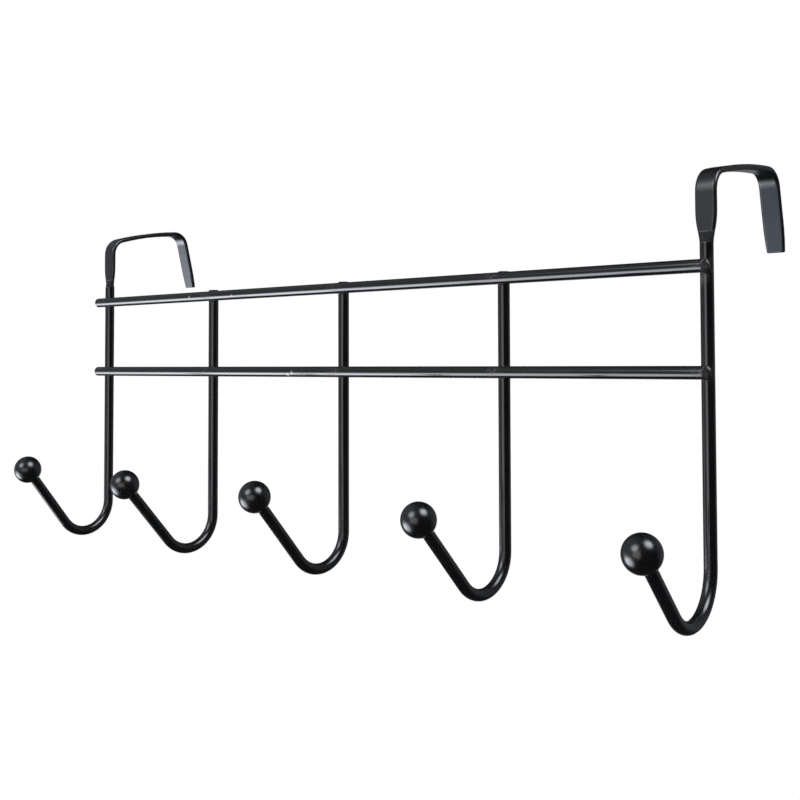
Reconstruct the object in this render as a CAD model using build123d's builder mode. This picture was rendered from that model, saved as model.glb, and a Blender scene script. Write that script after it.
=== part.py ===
from build123d import *
import os
from math import radians, sqrt

# Over-door hook rack: two rails of round wire carry a row of uprights, each bent into a J hook with
# a ball on its tip. The outer two uprights go on up, pressed flat, over the top of the door.
# Millimetres. X runs along the rails to the right, Y back through the door and Z up. The origin is
# midway between the straps, on the front edge of the door's top: the uprights lie against the
# door's face at Y = 0, and the edge bears on the inside of the straps' front bends.

# Wire and balls
wire_diameter = 5.0
wire_end_chamfer = 0.3
ball_diameter = 14.0
ball_clearance = 0.02

# Rails, and the uprights that they are welded to
hook_spacing = 93.3
rail_spacing = 38.6
upper_rail_drop = 31.8
rail_overhang_left = 4.5
rail_overhang_right = 1.7
weld_sink = 0.5
inner_upright_top = 3.2

# J hooks, with the drop from the lower rail to the lowest point of the wire's centre line, and the
# length of wire from the start of the bend to the tip
hook_drop = 88.8
hook_bend_radius = 15.8
hook_wire_length = 77.0

# Hand work leaves each upright a little different, from left to right: how far it is welded aside
# from its even place, how much higher its hook sits and how much wider its bend is
upright_names = ["left_hanger", "left_hook", "centre_hook", "right_hook", "right_hanger"]
upright_aside = [0, -1.1, 0.3, 0.6, 0.2]
hook_raise = [1.1, 0.2, 0, -0.1, 0.3]
bend_opening = [0, 0, -0.3, 0, 2.4]

# The same for each arm, in degrees: how steeply it rises from level, and its turn to the right
arm_rise = [51.6, 48.4, 49.2, 46.3, 46.1]
arm_turn = [1.6, -1, -1.5, 0.8, 5.2]

# Straps over the door, pressed from the wire, with bend radii to the middle of their thickness
strap_width = 8.6
strap_thickness = 2.3
strap_tip_width = 7.4
strap_tip_length = 12.0
strap_tip_round = 0.5
press_angle = 45.0
shoulder_height = 8.5
shoulder_length = 4.2
neck_width = 6.6
neck_length = 8.0
front_bend_radius = 8.4
rear_bend_radius = 7.7
strap_top_length = 37.3
rear_leg_length = 25.9

# Degrees: how steeply each strap leaves its front bend, how much its top arches, and the rear bend
strap_rise = {"left_hanger": 15.6, "right_hanger": 12.5}
strap_crown = 11.0
rear_bend_turn = 80.5

# Places that follow from the sizes above
row_length = hook_spacing * (len(upright_names) - 1)
upright_y = -wire_diameter / 2
rail_y = upright_y - wire_diameter + weld_sink
upper_rail_z = -upper_rail_drop
lower_rail_z = upper_rail_z - rail_spacing
shoulder_z = upper_rail_z + shoulder_height
neck_z = shoulder_z + shoulder_length
flat_z = neck_z + neck_length
crown_radius = strap_top_length / radians(strap_crown)
bend_inside = front_bend_radius - strap_thickness / 2
strap_set_off = (wire_diameter - strap_thickness) / 2
front_bend_z = -sqrt(bend_inside**2 - (bend_inside - strap_set_off) ** 2)


def upright_plane(number, turn=0):
    # The plane a wire is bent in: its origin is on the upright's axis, local x goes back through
    # the door and local y goes up
    x = hook_spacing * number - row_length / 2 + upright_aside[number]
    plane = Plane(origin=(x, upright_y, 0), x_dir=(0, 1, 0), z_dir=(1, 0, 0))
    return plane.rotated((0, 0, turn))


def cross_plane(number, height):
    # A level plane across an upright, with local x along the rails
    return Plane(origin=upright_plane(number).origin + (0, 0, height))


def hook_path(number, top):
    # The round wire's centre line: down the upright, round the J and up the arm to the ball
    bend_radius = hook_bend_radius + bend_opening[number]
    bend_z = lower_rail_z - hook_drop + hook_raise[number] + bend_radius
    with BuildLine(upright_plane(number, arm_turn[number])) as path:
        Line((0, top), (0, bend_z))
        bend = JernArc((0, bend_z), (0, -1), bend_radius, -90 - arm_rise[number])
        PolarLine(bend @ 1, hook_wire_length - bend.length, direction=bend % 1)
    return path.wire()


def strap_path(number):
    # The full-width strap's centre line: up from the neck, over the door and down to the tip's start
    rise = strap_rise[upright_names[number]]
    with BuildLine(upright_plane(number)) as path:
        Line((0, flat_z), (0, front_bend_z))
        front_bend = JernArc((0, front_bend_z), (0, 1), front_bend_radius, rise - 90)
        top = JernArc(front_bend @ 1, front_bend % 1, crown_radius, -strap_crown)
        rear_bend = JernArc(top @ 1, top % 1, rear_bend_radius, -rear_bend_turn)
        PolarLine(rear_bend @ 1, rear_leg_length - strap_tip_length, direction=rear_bend % 1)
    return path.wire()


def pressed_wire_section(plane):
    # The round wire in four arcs, one for each face of the strap that it is pressed into
    flat_arc = 180 - 2 * press_angle
    side_arc = 2 * press_angle
    with BuildSketch(plane) as section:
        with BuildLine():
            CenterArc((0, 0), wire_diameter / 2, press_angle, flat_arc)
            CenterArc((0, 0), wire_diameter / 2, 180 - press_angle, side_arc)
            CenterArc((0, 0), wire_diameter / 2, 180 + press_angle, flat_arc)
            CenterArc((0, 0), wire_diameter / 2, -press_angle, side_arc)
        make_face()
    return section.sketch


def strap_section(plane, width):
    # Flat front and back with sides that bulge out half round, in the same order as the arcs above
    half_flat = (width - strap_thickness) / 2
    half_thickness = strap_thickness / 2
    with BuildSketch(plane) as section:
        with BuildLine():
            Line((half_flat, half_thickness), (-half_flat, half_thickness))
            CenterArc((-half_flat, 0), half_thickness, 90, 180)
            Line((-half_flat, -half_thickness), (half_flat, -half_thickness))
            CenterArc((half_flat, 0), half_thickness, -90, 180)
        make_face()
    return section.sketch


def narrowing_sections(plane, length, end_width):
    # The strap's outline curves in from its full width, ever faster, like a parabola
    middle_width = strap_width - (strap_width - end_width) / 4
    return [
        strap_section(plane, strap_width),
        strap_section(plane.offset(length / 2), middle_width),
        strap_section(plane.offset(length), end_width),
    ]


def make_rail(height):
    left_end = Plane.YZ.offset(-row_length / 2 - rail_overhang_left)
    with BuildPart() as rail:
        with BuildSketch(left_end):
            with Locations((rail_y, height)):
                Circle(wire_diameter / 2)
        extrude(amount=rail_overhang_left + row_length + rail_overhang_right)
        chamfer(rail.edges().filter_by(GeomType.CIRCLE), wire_end_chamfer)
    return rail.part


def make_hook(number, rails):
    top = upper_rail_z + inner_upright_top + hook_raise[number]
    path = hook_path(number, top)
    with BuildPart() as hook:
        with BuildSketch(Plane(origin=path @ 0, z_dir=path % 0)):
            Circle(wire_diameter / 2)
        sweep(path=path)
        top_edges = hook.faces().sort_by(Axis.Z)[-1].edges()
        chamfer(top_edges, wire_end_chamfer)
        # Saddles that the welded rails sink into
        add(rails, mode=Mode.SUBTRACT)
    return hook.part


def make_hanger(number, rails):
    wire_end = pressed_wire_section(cross_plane(number, shoulder_z))
    neck = narrowing_sections(cross_plane(number, flat_z), -neck_length, neck_width)
    over_door = strap_path(number)
    tip_start = Plane(origin=over_door @ 1, x_dir=(1, 0, 0), z_dir=over_door % 1)
    tip = narrowing_sections(tip_start, strap_tip_length, strap_tip_width)
    path = hook_path(number, shoulder_z)
    with BuildPart() as hanger:
        # Strap, with its rounded tip
        loft(sections=tip)
        tip_end = tip_start.offset(strap_tip_length).origin
        fillet(hanger.faces().sort_by_distance(tip_end)[0].edges(), strap_tip_round)
        sweep(sections=neck[0], path=over_door)
        # Neck and shoulder, where the press begins to flatten the wire
        loft(sections=neck)
        loft(sections=[wire_end, neck[-1]], ruled=True)
        # Upright and J hook
        with BuildSketch(Plane(origin=path @ 0, z_dir=path % 0)):
            Circle(wire_diameter / 2)
        sweep(path=path)
        # Saddles that the welded rails sink into
        add(rails, mode=Mode.SUBTRACT)
    return hanger.part


def make_ball(number):
    path = hook_path(number, upper_rail_z)
    wire_tip = Plane(origin=path @ 1, z_dir=-(path % 1))
    with BuildPart(wire_tip) as ball:
        Sphere(ball_diameter / 2)
        # Blind seat that the end of the wire is pressed into, down to the ball's centre
        with BuildSketch(wire_tip):
            Circle(wire_diameter / 2 + ball_clearance)
        extrude(amount=ball_diameter / 2, mode=Mode.SUBTRACT)
    return ball.part


pieces = {"upper_rail": make_rail(upper_rail_z), "lower_rail": make_rail(lower_rail_z)}
rails = list(pieces.values())
for number, name in enumerate(upright_names):
    make_upright = make_hanger if name.endswith("hanger") else make_hook
    pieces[name] = make_upright(number, rails)
    pieces[f"{name}_ball"] = make_ball(number)

os.makedirs("parts", exist_ok=True)
for name, piece in pieces.items():
    piece.label = name
    export_step(piece, f"parts/{name}.step")
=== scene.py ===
import math

import bmesh
import bpy
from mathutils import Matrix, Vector


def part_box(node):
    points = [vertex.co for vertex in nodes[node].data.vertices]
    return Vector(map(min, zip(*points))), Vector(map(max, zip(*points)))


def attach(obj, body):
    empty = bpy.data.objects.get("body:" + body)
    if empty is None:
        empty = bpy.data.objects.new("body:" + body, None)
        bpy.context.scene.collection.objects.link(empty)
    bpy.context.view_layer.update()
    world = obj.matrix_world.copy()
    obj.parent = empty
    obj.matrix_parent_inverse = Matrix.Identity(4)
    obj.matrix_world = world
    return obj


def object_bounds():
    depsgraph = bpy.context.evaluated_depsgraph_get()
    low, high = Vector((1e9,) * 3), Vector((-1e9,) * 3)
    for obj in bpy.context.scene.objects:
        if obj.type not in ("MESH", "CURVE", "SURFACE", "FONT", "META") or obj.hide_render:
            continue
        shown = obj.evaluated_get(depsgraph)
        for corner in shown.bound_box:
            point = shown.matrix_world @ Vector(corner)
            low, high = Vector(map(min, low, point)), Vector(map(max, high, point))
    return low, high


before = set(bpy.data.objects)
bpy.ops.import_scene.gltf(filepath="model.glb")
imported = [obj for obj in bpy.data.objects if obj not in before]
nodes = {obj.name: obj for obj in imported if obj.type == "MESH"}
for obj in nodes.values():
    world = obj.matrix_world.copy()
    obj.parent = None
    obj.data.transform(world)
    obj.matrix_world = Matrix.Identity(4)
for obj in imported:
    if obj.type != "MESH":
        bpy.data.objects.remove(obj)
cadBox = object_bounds()
scene = bpy.context.scene
scene.view_settings.view_transform = "Standard"
print("frame loaded:", len(nodes), "pieces")

# places read from the frame: the uprights, the rails and the wire they are made of
uprightNames = ["left_hanger", "left_hook", "centre_hook", "right_hook", "right_hanger"]
railNames = ["upper_rail", "lower_rail"]
ballNames = [name + "_ball" for name in uprightNames]


def middleOf(name):
    low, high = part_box(name)
    return (low + high) / 2


def sizeOf(name):
    low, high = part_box(name)
    return high - low


topSlice = 0.001     # depth of wire below an upright's top that gives its middle


def topMiddleX(name):
    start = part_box(name)[1].z - topSlice
    across = [v.co.x for v in nodes[name].data.vertices if v.co.z > start]
    return (min(across) + max(across)) / 2


wireRadius = sizeOf("upper_rail").z / 2
uprightX = [topMiddleX(name) for name in uprightNames]
hookSpacing = (uprightX[-1] - uprightX[0]) / (len(uprightX) - 1)
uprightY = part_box("centre_hook")[1].y - wireRadius     # the uprights' backs lie against the door
railY = middleOf("upper_rail").y
railZ = [middleOf(name).z for name in railNames]
rackMiddle = (cadBox[0] + cadBox[1]) / 2


# shader helpers
def addNode(tree, kind, **settings):
    node = tree.nodes.new(kind)
    for name, value in settings.items():
        setattr(node, name, value)
    return node


def addMath(tree, operation, first, second=None, third=None):
    node = addNode(tree, "ShaderNodeMath", operation=operation)
    for socket, value in zip(node.inputs, (first, second, third)):
        if isinstance(value, bpy.types.NodeSocket):
            tree.links.new(value, socket)
        elif value is not None:
            socket.default_value = value
    return node.outputs[0]


def addRange(tree, value, fromLow, fromHigh, toLow=0.0, toHigh=1.0):
    node = addNode(tree, "ShaderNodeMapRange", interpolation_type="SMOOTHSTEP")
    tree.links.new(value, node.inputs["Value"])
    limits = zip(("From Min", "From Max", "To Min", "To Max"), (fromLow, fromHigh, toLow, toHigh))
    for name, limit in limits:
        if isinstance(limit, bpy.types.NodeSocket):
            tree.links.new(limit, node.inputs[name])
        else:
            node.inputs[name].default_value = limit
    return node.outputs["Result"]


def addNoise(tree, place, scale, detail=2.0, roughness=0.5):
    node = addNode(tree, "ShaderNodeTexNoise")
    tree.links.new(place, node.inputs["Vector"])
    if isinstance(scale, bpy.types.NodeSocket):
        tree.links.new(scale, node.inputs["Scale"])
    else:
        node.inputs["Scale"].default_value = scale
    node.inputs["Detail"].default_value = detail
    node.inputs["Roughness"].default_value = roughness
    return node.outputs["Fac"]


def addBlotches(tree, place, scale, detail, roughness, low, high):
    # clouds with clear gaps between them: none below low, full above high
    return addRange(tree, addNoise(tree, place, scale, detail, roughness), low, high)


def splitAxes(tree, vector):
    node = addNode(tree, "ShaderNodeSeparateXYZ")
    tree.links.new(vector, node.inputs["Vector"])
    return node.outputs


def addNearness(tree, place, middle, reach):
    # one at the middle, fading to nothing at the reach
    apart = addNode(tree, "ShaderNodeVectorMath", operation="DISTANCE")
    tree.links.new(place, apart.inputs[0])
    tree.links.new(middle, apart.inputs[1])
    return addRange(tree, apart.outputs["Value"], reach, 0.0)


def addDulling(tree, rough, mask, dullness):
    change = addMath(tree, "SUBTRACT", dullness, rough)
    return addMath(tree, "MULTIPLY_ADD", mask, change, rough)


colorMix = dict(first=6, second=7, result=2)     # places of a Mix node's colour sockets


def addColorMix(tree, share, first, second):
    node = addNode(tree, "ShaderNodeMix", data_type="RGBA")
    tree.links.new(share, node.inputs["Factor"])
    sockets = (node.inputs[colorMix["first"]], node.inputs[colorMix["second"]])
    for socket, value in zip(sockets, (first, second)):
        if isinstance(value, bpy.types.NodeSocket):
            tree.links.new(value, socket)
        else:
            socket.default_value = value
    return node.outputs[colorMix["result"]]


def newGroup(name, inputs, outputs):
    group = bpy.data.node_groups.new(name, "ShaderNodeTree")
    for socketName, kind in inputs.items():
        group.interface.new_socket(socketName, in_out="INPUT", socket_type="NodeSocket" + kind)
    for socketName, kind in outputs.items():
        group.interface.new_socket(socketName, in_out="OUTPUT", socket_type="NodeSocket" + kind)
    entry = group.nodes.new("NodeGroupInput")
    leave = group.nodes.new("NodeGroupOutput")
    place = group.nodes.new("ShaderNodeTexCoord").outputs["Object"]
    return group, entry.outputs, leave.inputs, place


def useGroup(tree, group, **values):
    node = addNode(tree, "ShaderNodeGroup", node_tree=group)
    for name, value in values.items():
        node.inputs[name].default_value = value
    return node.outputs


# clouded black: two depths of the same paint, thinner where it ran off
paintCloud = dict(detail=4.0, roughness=0.6, low=0.35, high=0.7)


def makePaintTone():
    group, given, result, place = newGroup(
        "paintTone",
        {"Deep": "Color", "Thin": "Color", "Scale": "Float"},
        {"Color": "Color", "Haze": "Float"})
    haze = addBlotches(group, place, given["Scale"], **paintCloud)
    group.links.new(haze, result["Haze"])
    group.links.new(addColorMix(group, haze, given["Deep"], given["Thin"]), result["Color"])
    return group


# sprayed skin: fine orange peel and a few dust nibs caught in the paint
dustNib = dict(edge=0.22, top=0.02)


def makePaintSkin():
    group, given, result, place = newGroup(
        "paintSkin",
        {"Peel Scale": "Float", "Nib Scale": "Float", "Nib Share": "Float"},
        {"Peel": "Float", "Nibs": "Float"})
    group.links.new(addNoise(group, place, given["Peel Scale"], detail=1.0), result["Peel"])
    cells = addNode(group, "ShaderNodeTexVoronoi")
    group.links.new(place, cells.inputs["Vector"])
    group.links.new(given["Nib Scale"], cells.inputs["Scale"])
    lot = addNode(group, "ShaderNodeSeparateColor")
    group.links.new(cells.outputs["Color"], lot.inputs["Color"])
    chosen = addMath(group, "LESS_THAN", lot.outputs["Red"], given["Nib Share"])
    dome = addRange(group, cells.outputs["Distance"], dustNib["edge"], dustNib["top"])
    group.links.new(addMath(group, "MULTIPLY", chosen, dome), result["Nibs"])
    return group


# scorched residue on the wires round each weld, in blotches
stainBlotch = dict(scale=700.0, detail=5.0, roughness=0.7, low=0.42, high=0.68)


def makeWeldStain():
    group, given, result, place = newGroup(
        "weldStain",
        {"Spacing": "Float", "Rail Middle": "Float", "Half Gap": "Float", "Reach": "Float"},
        {"Mask": "Float"})
    axes = splitAxes(group, place)
    halfSpacing = addMath(group, "MULTIPLY", given["Spacing"], 0.5)
    otherHalf = addMath(group, "MULTIPLY", given["Spacing"], -0.5)
    aside = addMath(group, "WRAP", axes["X"], halfSpacing, otherHalf)
    fromMiddle = addMath(group, "SUBTRACT", axes["Z"], given["Rail Middle"])
    above = addMath(group, "SUBTRACT", addMath(group, "ABSOLUTE", fromMiddle), given["Half Gap"])
    aboveSquare = addMath(group, "POWER", above, 2.0)
    squares = addMath(group, "ADD", addMath(group, "POWER", aside, 2.0), aboveSquare)
    near = addRange(group, addMath(group, "SQRT", squares), given["Reach"], 0.0)
    blotch = addBlotches(group, place, **stainBlotch)
    group.links.new(addMath(group, "MULTIPLY", near, blotch), result["Mask"])
    return group


# where the wire is pressed flat the paint is duller, most of all on the shoulder below the press's
# edge, and along that edge, in front of the door, a pale painted highlight in patches stands in for the
# light the crease catches
edgeHighlightBlotch = dict(scale=500.0, detail=3.0, roughness=0.5, low=0.3, high=0.6)


def makePressedPart():
    group, given, result, place = newGroup(
        "pressedPart",
        {"Start": "Float", "End": "Float", "Line Width": "Float"},
        {"Shoulder": "Float", "Flat": "Float", "Line": "Float"})
    axes = splitAxes(group, place)
    overDoor = addMath(group, "GREATER_THAN", axes["Y"], 0.0)     # flat all the way past the door's face
    halfLine = addMath(group, "MULTIPLY", given["Line Width"], 0.5)
    pastStart = addMath(group, "ADD", given["Start"], given["Line Width"])
    group.links.new(addRange(group, axes["Z"], given["Start"], pastStart), result["Shoulder"])
    beforeEnd = addMath(group, "SUBTRACT", given["End"], halfLine)
    pastEnd = addMath(group, "ADD", given["End"], halfLine)
    flattened = addRange(group, axes["Z"], beforeEnd, pastEnd)
    group.links.new(addMath(group, "MAXIMUM", flattened, overDoor), result["Flat"])
    # painted highlight: a pale line along the press's edge, in front of the door only, broken into
    # patches
    fromEnd = addMath(group, "ABSOLUTE", addMath(group, "SUBTRACT", axes["Z"], given["End"]))
    onLine = addMath(group, "SUBTRACT", addRange(group, fromEnd, given["Line Width"], 0.0), overDoor)
    inFront = addMath(group, "MAXIMUM", onLine, 0.0)
    highlightPatches = addBlotches(group, place, **edgeHighlightBlotch)
    group.links.new(addMath(group, "MULTIPLY", inFront, highlightPatches), result["Line"])
    return group


# the rear legs' faces toward the door, painted a bluish grey that stands in for the bluish sheen they
# show
legFacing = dict(aslant=-0.7, square=-0.95)     # the normal's part along Y


def makeDoorSide():
    group, given, result, place = newGroup("doorSide", {"Behind": "Float"}, {"Mask": "Float"})
    onLeg = addMath(group, "GREATER_THAN", splitAxes(group, place)["Y"], given["Behind"])
    outward = splitAxes(group, addNode(group, "ShaderNodeTexCoord").outputs["Normal"])
    facing = addRange(group, outward["Y"], legFacing["aslant"], legFacing["square"])
    group.links.new(addMath(group, "MULTIPLY", onLeg, facing), result["Mask"])
    return group


# pale smudge that the welder's heat left beside one weld
smudgeBlotch = dict(scale=900.0, detail=4.0, roughness=0.6, low=0.3, high=0.55)


def makeHeatSmudge():
    group, given, result, place = newGroup(
        "heatSmudge", {"Middle": "Vector", "Reach": "Float"}, {"Mask": "Float"})
    near = addNearness(group, place, given["Middle"], given["Reach"])
    patchy = addBlotches(group, place, **smudgeBlotch)
    group.links.new(addMath(group, "MULTIPLY", near, patchy), result["Mask"])
    return group


# sawn ends of the rails, left duller under the paint
def makeCutEnds():
    group, given, result, place = newGroup(
        "cutEnds", {"Left": "Float", "Right": "Float"}, {"Mask": "Float"})
    along = splitAxes(group, place)["X"]
    atLeft = addMath(group, "LESS_THAN", along, given["Left"])
    atRight = addMath(group, "GREATER_THAN", along, given["Right"])
    group.links.new(addMath(group, "MAXIMUM", atLeft, atRight), result["Mask"])
    return group


# paint that pooled in the bends at the bottom of the hooks and set duller
def makePooledPaint():
    group, given, result, place = newGroup(
        "pooledPaint", {"Top": "Float", "Full": "Float"}, {"Mask": "Float"})
    height = splitAxes(group, place)["Z"]
    group.links.new(addRange(group, height, given["Top"], given["Full"]), result["Mask"])
    return group


# painted glint: a pale spot on a rail's bright band, standing in for light caught by a bump in the paint
def makePaintedGlint():
    group, given, result, place = newGroup(
        "paintedGlint", {"Middle": "Vector", "Reach": "Float"}, {"Mask": "Float"})
    group.links.new(addNearness(group, place, given["Middle"], given["Reach"]), result["Mask"])
    return group


paintTone = makePaintTone()
paintSkin = makePaintSkin()
weldStain = makeWeldStain()
pressedPart = makePressedPart()
doorSide = makeDoorSide()
heatSmudge = makeHeatSmudge()
cutEnds = makeCutEnds()
pooledPaint = makePooledPaint()
paintedGlint = makePaintedGlint()

wirePaint = dict(
    deep=(0.0016, 0.0016, 0.002, 1.0), thin=(0.0034, 0.0033, 0.0038, 1.0), cloudScale=60.0,
    gloss=(0.12, 0.17), ior=1.8,
    stain=(0.05, 0.041, 0.04, 1.0), stainReach=0.0062, stainRoughness=0.45,
    peelScale=420.0, nibScale=160.0, nibShare=0.012, nibHeight=6.0, bumpDepth=0.000003)
hookPaint = dict(
    wirePaint, poolTop=cadBox[0].z + 0.034, poolFull=cadBox[0].z + 0.022, poolRoughness=0.24)
hangerPaint = dict(
    hookPaint, pressStart=railZ[0] + 0.0085, pressEnd=railZ[0] + 0.0128, shoulderRoughness=0.95,
    # the press line colour is a pale painted highlight along the press's edge
    flatRoughness=0.31, pressEdgeHighlight=(0.07, 0.07, 0.073, 1.0), pressLineWidth=0.0004,
    # the leg face colour is a painted bluish sheen on the rear legs' door-side faces
    legBehind=0.03, legSheen=(0.022, 0.033, 0.05, 1.0),
    smudge=(0.16, 0.138, 0.142, 1.0), smudgeReach=0.0042,
    smudgeMiddle=(uprightX[-1] - 0.0018, uprightY - 0.0018, railZ[0] - 0.0042))
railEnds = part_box("upper_rail")
cutDepth = 0.0004     # how far in from a rail's end the sawn face reaches
railPaint = dict(
    wirePaint, endLeft=railEnds[0].x + cutDepth, endRight=railEnds[1].x - cutDepth, endRoughness=0.65,
    # pale spots painted on the rails' bright band as glints
    glint=(0.6, 0.6, 0.61, 1.0), glints=[
        dict(middle=(-0.0307, railY - 0.002, railZ[1] - 0.0015), reach=0.0014),
        dict(middle=(-0.0277, railY - 0.0025, railZ[1] - 0.0003), reach=0.0011),
        dict(middle=(-0.1058, railY - 0.0025, railZ[0]), reach=0.0009),
        dict(middle=(-0.0719, railY - 0.0024, railZ[0] - 0.0006), reach=0.0009)])
ballPaint = dict(
    deep=(0.0012, 0.0012, 0.0015, 1.0), thin=(0.0026, 0.0026, 0.003, 1.0), cloudScale=110.0,
    gloss=(0.22, 0.28), ior=1.8,
    stain=(0.02, 0.02, 0.02, 1.0), stainReach=0.004, stainRoughness=0.4,
    peelScale=420.0, nibScale=160.0, nibShare=0.015, nibHeight=5.0, bumpDepth=0.000003)
weldPaint = dict(
    deep=(0.003, 0.0028, 0.003, 1.0), thin=(0.008, 0.0075, 0.0075, 1.0), cloudScale=500.0,
    gloss=(0.25, 0.4), ior=1.6,
    stain=(0.06, 0.048, 0.046, 1.0), stainReach=0.0065, stainRoughness=0.5,
    peelScale=900.0, nibScale=500.0, nibShare=0.05, nibHeight=3.0, bumpDepth=0.000012)


def makePaint(name, paint):
    material = bpy.data.materials.new(name)
    material.use_nodes = True
    tree = material.node_tree
    shader = tree.nodes["Principled BSDF"]
    tone = useGroup(tree, paintTone, Deep=paint["deep"], Thin=paint["thin"], Scale=paint["cloudScale"])
    skin = useGroup(tree, paintSkin, **{
        "Peel Scale": paint["peelScale"], "Nib Scale": paint["nibScale"], "Nib Share": paint["nibShare"]})
    scorch = useGroup(tree, weldStain, **{
        "Spacing": hookSpacing, "Rail Middle": (railZ[0] + railZ[1]) / 2,
        "Half Gap": (railZ[0] - railZ[1]) / 2, "Reach": paint["stainReach"]})["Mask"]
    color = addColorMix(tree, scorch, tone["Color"], paint["stain"])
    dull = addRange(tree, tone["Haze"], 0.0, 1.0, *paint["gloss"])
    rough = addDulling(tree, dull, scorch, paint["stainRoughness"])
    if "poolTop" in paint:
        pooled = useGroup(tree, pooledPaint, Top=paint["poolTop"], Full=paint["poolFull"])["Mask"]
        rough = addDulling(tree, rough, pooled, paint["poolRoughness"])
    if "pressStart" in paint:
        pressed = useGroup(tree, pressedPart, **{
            "Start": paint["pressStart"], "End": paint["pressEnd"],
            "Line Width": paint["pressLineWidth"]})
        rough = addDulling(tree, rough, pressed["Shoulder"], paint["shoulderRoughness"])
        rough = addDulling(tree, rough, pressed["Flat"], paint["flatRoughness"])
        # painted highlight: pale line along the front of the press's edge
        color = addColorMix(tree, pressed["Line"], color, paint["pressEdgeHighlight"])
        # painted sheen: bluish grey on the rear legs' faces toward the door
        legSheenMask = useGroup(tree, doorSide, Behind=paint["legBehind"])["Mask"]
        color = addColorMix(tree, legSheenMask, color, paint["legSheen"])
        heat = useGroup(tree, heatSmudge, Middle=paint["smudgeMiddle"], Reach=paint["smudgeReach"])
        color = addColorMix(tree, heat["Mask"], color, paint["smudge"])
    if "glints" in paint:
        sawn = useGroup(tree, cutEnds, Left=paint["endLeft"], Right=paint["endRight"])["Mask"]
        rough = addDulling(tree, rough, sawn, paint["endRoughness"])
        # painted glints: pale spots on the rails' bright band
        for glint in paint["glints"]:
            glintSpot = useGroup(tree, paintedGlint, Middle=glint["middle"], Reach=glint["reach"])["Mask"]
            color = addColorMix(tree, glintSpot, color, paint["glint"])
    tree.links.new(color, shader.inputs["Base Color"])
    tree.links.new(rough, shader.inputs["Roughness"])
    nibbed = addMath(tree, "MULTIPLY_ADD", skin["Nibs"], paint["nibHeight"], skin["Peel"])
    bump = addNode(tree, "ShaderNodeBump")
    bump.inputs["Distance"].default_value = paint["bumpDepth"]
    tree.links.new(nibbed, bump.inputs["Height"])
    tree.links.new(bump.outputs["Normal"], shader.inputs["Normal"])
    shader.inputs["IOR"].default_value = paint["ior"]
    return material


wireMaterial = makePaint("glossBlackWire", hookPaint)
railMaterial = makePaint("blackRailPaintedGlints", railPaint)
hangerMaterial = makePaint("pressedBlackWire", hangerPaint)
ballMaterial = makePaint("satinBlackBall", ballPaint)
weldMaterial = makePaint("paintedWeld", weldPaint)


def dress(piece, material):
    piece.data.materials.clear()
    piece.data.materials.append(material)


for name in railNames:
    dress(nodes[name], railMaterial)
for name in uprightNames:
    dress(nodes[name], hangerMaterial if name.endswith("hanger") else wireMaterial)
for name in ballNames:
    dress(nodes[name], ballMaterial)
print("paint on:", len(nodes), "pieces")


# modelling helpers
def deselectAll():
    bpy.ops.object.select_all(action="DESELECT")


def pickOnly(piece):
    deselectAll()
    piece.select_set(True)
    bpy.context.view_layer.objects.active = piece


def selectVertices(piece, wanted):
    shape = bmesh.from_edit_mesh(piece.data)
    bpy.ops.mesh.select_all(action="DESELECT")
    for vertex in shape.verts:
        vertex.select = wanted(vertex.co)
    shape.select_flush(True)
    bmesh.update_edit_mesh(piece.data)


def copyPiece(original, name):
    pickOnly(original)
    bpy.ops.object.duplicate(linked=False)
    piece = bpy.context.object
    piece.name = name
    return piece


def settle(piece, material):
    pickOnly(piece)
    bpy.ops.object.transform_apply(location=True, rotation=True, scale=True)
    dress(piece, material)
    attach(piece, "root")


# squeezed-out metal between the crossed wires at each weld
weldBead = dict(across=0.0054, depth=0.0030, height=0.0056, rim=0.6, lumps=0.00035, seed=7,
                smoothing=(0.5, 2), segments=28, rings=14, rounding=1, turns=(0, 180))


def modelWeldBead():
    deselectAll()
    bpy.ops.mesh.primitive_uv_sphere_add(
        segments=weldBead["segments"], ring_count=weldBead["rings"], radius=1.0, location=(0, 0, 0))
    bead = bpy.context.object
    bpy.ops.object.mode_set(mode="EDIT")
    bpy.ops.mesh.select_all(action="SELECT")
    half = (weldBead["across"] / 2, weldBead["depth"] / 2, weldBead["height"] / 2)
    bpy.ops.transform.resize(value=half)
    # the rim spreads and breaks up, the middle stays trapped between the wires
    selectVertices(bead, lambda place: abs(place.y) < half[1] * weldBead["rim"])
    bpy.ops.transform.vertex_random(offset=weldBead["lumps"], uniform=1.0, seed=weldBead["seed"])
    bpy.ops.mesh.select_all(action="SELECT")
    factor, repeat = weldBead["smoothing"]
    bpy.ops.mesh.vertices_smooth(factor=factor, repeat=repeat)
    bpy.ops.mesh.normals_make_consistent(inside=False)
    bpy.ops.object.mode_set(mode="OBJECT")
    rounding = bead.modifiers.new("rounding", "SUBSURF")
    rounding.levels = weldBead["rounding"]
    rounding.render_levels = weldBead["rounding"]
    bpy.ops.object.modifier_apply(modifier=rounding.name)
    bpy.ops.object.shade_smooth()
    return bead


beadPattern = modelWeldBead()
for rail, z in zip(railNames, railZ):
    for i, x in enumerate(uprightX):
        bead = copyPiece(beadPattern, f"weld_{rail}_{uprightNames[i]}")
        bead.location = (x, (uprightY + railY) / 2, z)
        bead.rotation_euler.y = math.radians(weldBead["turns"][i % 2])
        settle(bead, weldMaterial)
bpy.data.objects.remove(beadPattern)
print("weld beads:", len(railZ) * len(uprightX))


# paint drawn into the corner where each arm enters its ball
neckFillet = dict(radius=0.0011, steps=5, sides=48, bury=0.0005, crease=50.0, rimMargin=1.02)


def armDirection(wire, centre):
    # the wire ends on the ball's centre, so the rim of that end gives the arm's line
    nearest = wireRadius * neckFillet["rimMargin"]
    spokes = [v.co - centre for v in nodes[wire].data.vertices]
    rim = [spoke for spoke in spokes if spoke.length < nearest]
    first = rim[0]
    second = min(rim, key=lambda spoke: abs(spoke.dot(first)))
    along = first.cross(second).normalized()
    return along if along.z < 0 else -along


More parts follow.
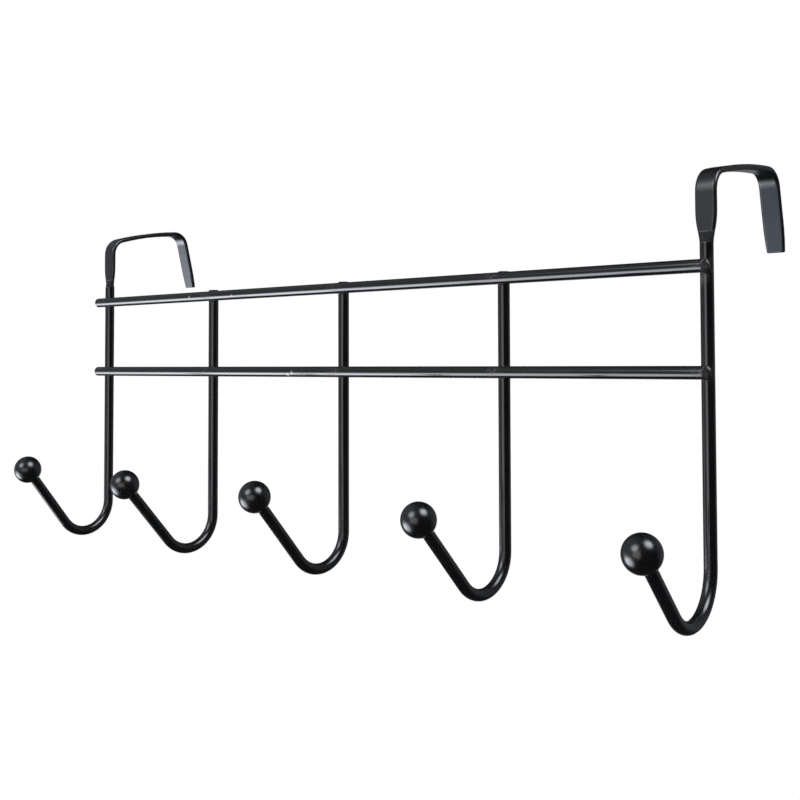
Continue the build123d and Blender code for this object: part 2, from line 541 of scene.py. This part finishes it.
def filletProfile(ballRadius):
    # distance from the arm's line and along it, from the wire down on to the ball
    bend = neckFillet["radius"]
    centreAway = wireRadius + bend
    centreAlong = math.sqrt((ballRadius + bend) ** 2 - centreAway ** 2)
    sweep = math.atan2(centreAlong, centreAway)
    points = []
    for step in range(neckFillet["steps"] + 1):
        angle = math.pi + sweep * step / neckFillet["steps"]
        points.append((centreAway + bend * math.cos(angle), centreAlong + bend * math.sin(angle)))
    bury = neckFillet["bury"]
    points.append((points[-1][0] - bury, points[-1][1] - bury))
    points.append((wireRadius - bury, points[-1][1]))
    points.append((wireRadius - bury, centreAlong))
    return points


def modelNeckFillet(ballRadius):
    deselectAll()
    profile = filletProfile(ballRadius)
    away, along = profile[0]
    bpy.ops.mesh.primitive_circle_add(vertices=neckFillet["sides"], radius=away, location=(0, 0, 0))
    fillet = bpy.context.object
    bpy.ops.object.mode_set(mode="EDIT")
    bpy.ops.mesh.select_all(action="SELECT")
    bpy.ops.transform.translate(value=(0, 0, along))
    for nextAway, nextAlong in profile[1:]:
        bpy.ops.mesh.extrude_edges_move()
        grow = nextAway / away
        bpy.ops.transform.resize(value=(grow, grow, 1), center_override=(0, 0, along))
        bpy.ops.transform.translate(value=(0, 0, nextAlong - along))
        away, along = nextAway, nextAlong
    bpy.ops.mesh.select_all(action="DESELECT")
    bpy.ops.mesh.select_mode(type="EDGE")
    bpy.ops.mesh.select_non_manifold()
    bpy.ops.mesh.bridge_edge_loops()
    bpy.ops.mesh.select_all(action="SELECT")
    bpy.ops.mesh.normals_make_consistent(inside=False)
    bpy.ops.object.mode_set(mode="OBJECT")
    bpy.ops.object.shade_smooth_by_angle(angle=math.radians(neckFillet["crease"]))
    return fillet


filletPattern = modelNeckFillet(sizeOf(ballNames[0]).x / 2)
for wire, ball in zip(uprightNames, ballNames):
    centre = middleOf(ball)
    fillet = copyPiece(filletPattern, f"{ball}_neck")
    fillet.location = centre
    fillet.rotation_euler = armDirection(wire, centre).to_track_quat("Z", "Y").to_euler()
    settle(fillet, ballMaterial)
bpy.data.objects.remove(filletPattern)
print("neck fillets:", len(ballNames))


# white paper floor, well below the hanging rack
floorPaper = dict(below=0.34, width=12.0, shade=(0.86, 0.86, 0.86, 1.0), pool=(0.2, 0.6), lift=0.55)


def isShown(tree):
    # rays that look at the background, straight or by way of gloss and glass
    path = addNode(tree, "ShaderNodeLightPath").outputs
    straight = addMath(tree, "MAXIMUM", path["Is Camera Ray"], path["Is Glossy Ray"])
    return addMath(tree, "MAXIMUM", straight, path["Is Transmission Ray"])


def makeFloor():
    deselectAll()
    height = cadBox[0].z - floorPaper["below"]
    bpy.ops.mesh.primitive_plane_add(size=floorPaper["width"], location=(0, 0, height))
    floor = bpy.context.object
    floor.name = "floor"
    material = bpy.data.materials.new("whitePaper")
    material.use_nodes = True
    tree = material.node_tree
    tree.nodes.remove(tree.nodes["Principled BSDF"])
    paper = addNode(tree, "ShaderNodeBsdfDiffuse")
    paper.inputs["Color"].default_value = floorPaper["shade"]
    white = addNode(tree, "ShaderNodeEmission")
    # the shadow stays under the rack, and the paper clears to white further out
    away = addNode(tree, "ShaderNodeVectorMath", operation="LENGTH")
    tree.links.new(addNode(tree, "ShaderNodeTexCoord").outputs["Object"], away.inputs[0])
    clear = addRange(tree, away.outputs["Value"], *floorPaper["pool"], floorPaper["lift"], 1.0)
    mix = addNode(tree, "ShaderNodeMixShader")
    tree.links.new(addMath(tree, "MULTIPLY", clear, isShown(tree)), mix.inputs["Fac"])
    tree.links.new(paper.outputs["BSDF"], mix.inputs[1])
    tree.links.new(white.outputs["Emission"], mix.inputs[2])
    tree.links.new(mix.outputs["Shader"], tree.nodes["Material Output"].inputs["Surface"])
    dress(floor, material)
    floor.visible_glossy = False     # the gloss sees the tent in its place


# dark cloth round the set, seen only in the gloss, with soft patches of light: spread gives the cosines
# of the angles at which a patch fades out and is full, and glow is its brightness, where 1 is white
darkTent = dict(radius=5.0, shade=0.035, tint=(0.93, 0.97, 1.06, 1.0), glows=[
    dict(toward=(-0.70, -0.66, 0.27), spread=(0.2, 0.8), glow=0.24),
    dict(toward=(-0.62, -0.56, -0.55), spread=(0.9, 0.985), glow=3.9),
    dict(toward=(-0.80, -0.36, -0.48), spread=(0.955, 0.99), glow=2.8),
    dict(toward=(-0.86, -0.42, -0.28), spread=(0.955, 0.995), glow=1.0),
    dict(toward=(-0.48, -0.72, 0.50), spread=(0.985, 0.998), glow=0.4),
    dict(toward=(-0.17, -0.82, 0.55), spread=(0.93, 0.996), glow=3.7),
    dict(toward=(0.61, 0.0, 0.79), spread=(0.915, 0.994), glow=6.2),
    dict(toward=(0.40, 0.90, 0.15), spread=(0.7, 0.97), glow=0.15),
    dict(toward=(-0.55, 0.78, -0.30), spread=(0.88, 0.975), glow=0.4)])


def makeTent():
    deselectAll()
    bpy.ops.mesh.primitive_uv_sphere_add(radius=darkTent["radius"], location=rackMiddle)
    tent = bpy.context.object
    tent.name = "darkTent"
    material = bpy.data.materials.new("tentCloth")
    material.use_nodes = True
    material.cycles.emission_sampling = "NONE"     # found by the gloss alone, so it adds no noise
    tree = material.node_tree
    tree.nodes.remove(tree.nodes["Principled BSDF"])
    outward = addNode(tree, "ShaderNodeVectorMath", operation="NORMALIZE")
    tree.links.new(addNode(tree, "ShaderNodeTexCoord").outputs["Object"], outward.inputs[0])
    level = darkTent["shade"]
    for patch in darkTent["glows"]:
        facing = addNode(tree, "ShaderNodeVectorMath", operation="DOT_PRODUCT")
        tree.links.new(outward.outputs["Vector"], facing.inputs[0])
        facing.inputs[1].default_value = Vector(patch["toward"]).normalized()
        lit = addRange(tree, facing.outputs["Value"], *patch["spread"], 0.0, patch["glow"])
        level = addMath(tree, "ADD", lit, level)
    cloth = addNode(tree, "ShaderNodeEmission")
    cloth.inputs["Color"].default_value = darkTent["tint"]
    tree.links.new(level, cloth.inputs["Strength"])
    tree.links.new(cloth.outputs["Emission"], tree.nodes["Material Output"].inputs["Surface"])
    dress(tent, material)
    tent.visible_camera = False
    tent.visible_diffuse = False
    tent.visible_transmission = False
    tent.visible_shadow = False


makeFloor()
makeTent()

# glow is the lamp's brightness as it shows in a mirror, where 1 is white. The two upper lamps are
# feathered, so the gloss sees soft patches on the tent in their place
softboxes = {
    "frontSoftbox": dict(place=(0.115, -0.66, -0.1), aim=(-0.63, 0.008, -0.1), size=(0.64, 0.29),
                         glow=0.95, tint=(1.0, 0.99, 0.98), mirrored=True),
    "upperSoftbox": dict(place=(-0.15, -1.28, 0.7), aim=(0.1, -0.05, -0.12), size=(0.7, 0.7),
                         glow=2.7, tint=(1.0, 1.0, 1.0), mirrored=False),
    "topSoftbox": dict(place=(0.95, -0.05, 0.85), aim=(0.1, -0.03, -0.1), size=(0.8, 0.8),
                       glow=4.6, tint=(0.98, 0.99, 1.0), mirrored=False),
}


def addSoftbox(name, box):
    bpy.ops.object.light_add(type="AREA", location=box["place"])
    lamp = bpy.context.object
    lamp.name = name
    lamp.data.shape = "RECTANGLE"
    lamp.data.size, lamp.data.size_y = box["size"]
    lamp.data.energy = box["glow"] * math.pi * lamp.data.size * lamp.data.size_y
    lamp.data.color = box["tint"]
    toward = Vector(box["aim"]) - Vector(box["place"])
    lamp.rotation_euler = toward.to_track_quat("-Z", "Y").to_euler()
    lamp.visible_camera = False
    lamp.visible_glossy = box["mirrored"]


for name, box in softboxes.items():
    addSoftbox(name, box)

surround = dict(ambient=0.4, white=(1.0, 1.0, 1.0, 1.0))


def makeSurround():
    world = bpy.data.worlds.new("studio")
    scene.world = world
    world.use_nodes = True
    tree = world.node_tree
    fill = tree.nodes["Background"]
    fill.inputs["Color"].default_value = surround["white"]
    fill.inputs["Strength"].default_value = surround["ambient"]
    white = addNode(tree, "ShaderNodeBackground")
    white.inputs["Color"].default_value = surround["white"]
    mix = addNode(tree, "ShaderNodeMixShader")
    tree.links.new(isShown(tree), mix.inputs["Fac"])
    tree.links.new(fill.outputs["Background"], mix.inputs[1])
    tree.links.new(white.outputs["Background"], mix.inputs[2])
    tree.links.new(mix.outputs["Shader"], tree.nodes["World Output"].inputs["Surface"])


makeSurround()
print("studio:", len(softboxes), "softboxes")

# stands right of the rack, nearly level, with the frame slid down to take in the hooks
photoCamera = dict(place=(0.40738, -0.41001, -0.06751), heading=42.369, pitch=2.376, roll=0.132,
                   lens=55.8, sensor=36.0, slide=-0.1075, nearest=0.01)


def addCamera():
    bpy.ops.object.camera_add(location=photoCamera["place"])
    camera = bpy.context.object
    # a camera turned up by 90 degrees looks level
    turns = (90 + photoCamera["pitch"], photoCamera["roll"], photoCamera["heading"])
    camera.rotation_euler = [math.radians(turn) for turn in turns]
    camera.data.sensor_width = photoCamera["sensor"]
    camera.data.lens = photoCamera["lens"]
    camera.data.shift_y = photoCamera["slide"]
    camera.data.clip_start = photoCamera["nearest"]
    scene.camera = camera


addCamera()
print("camera set")
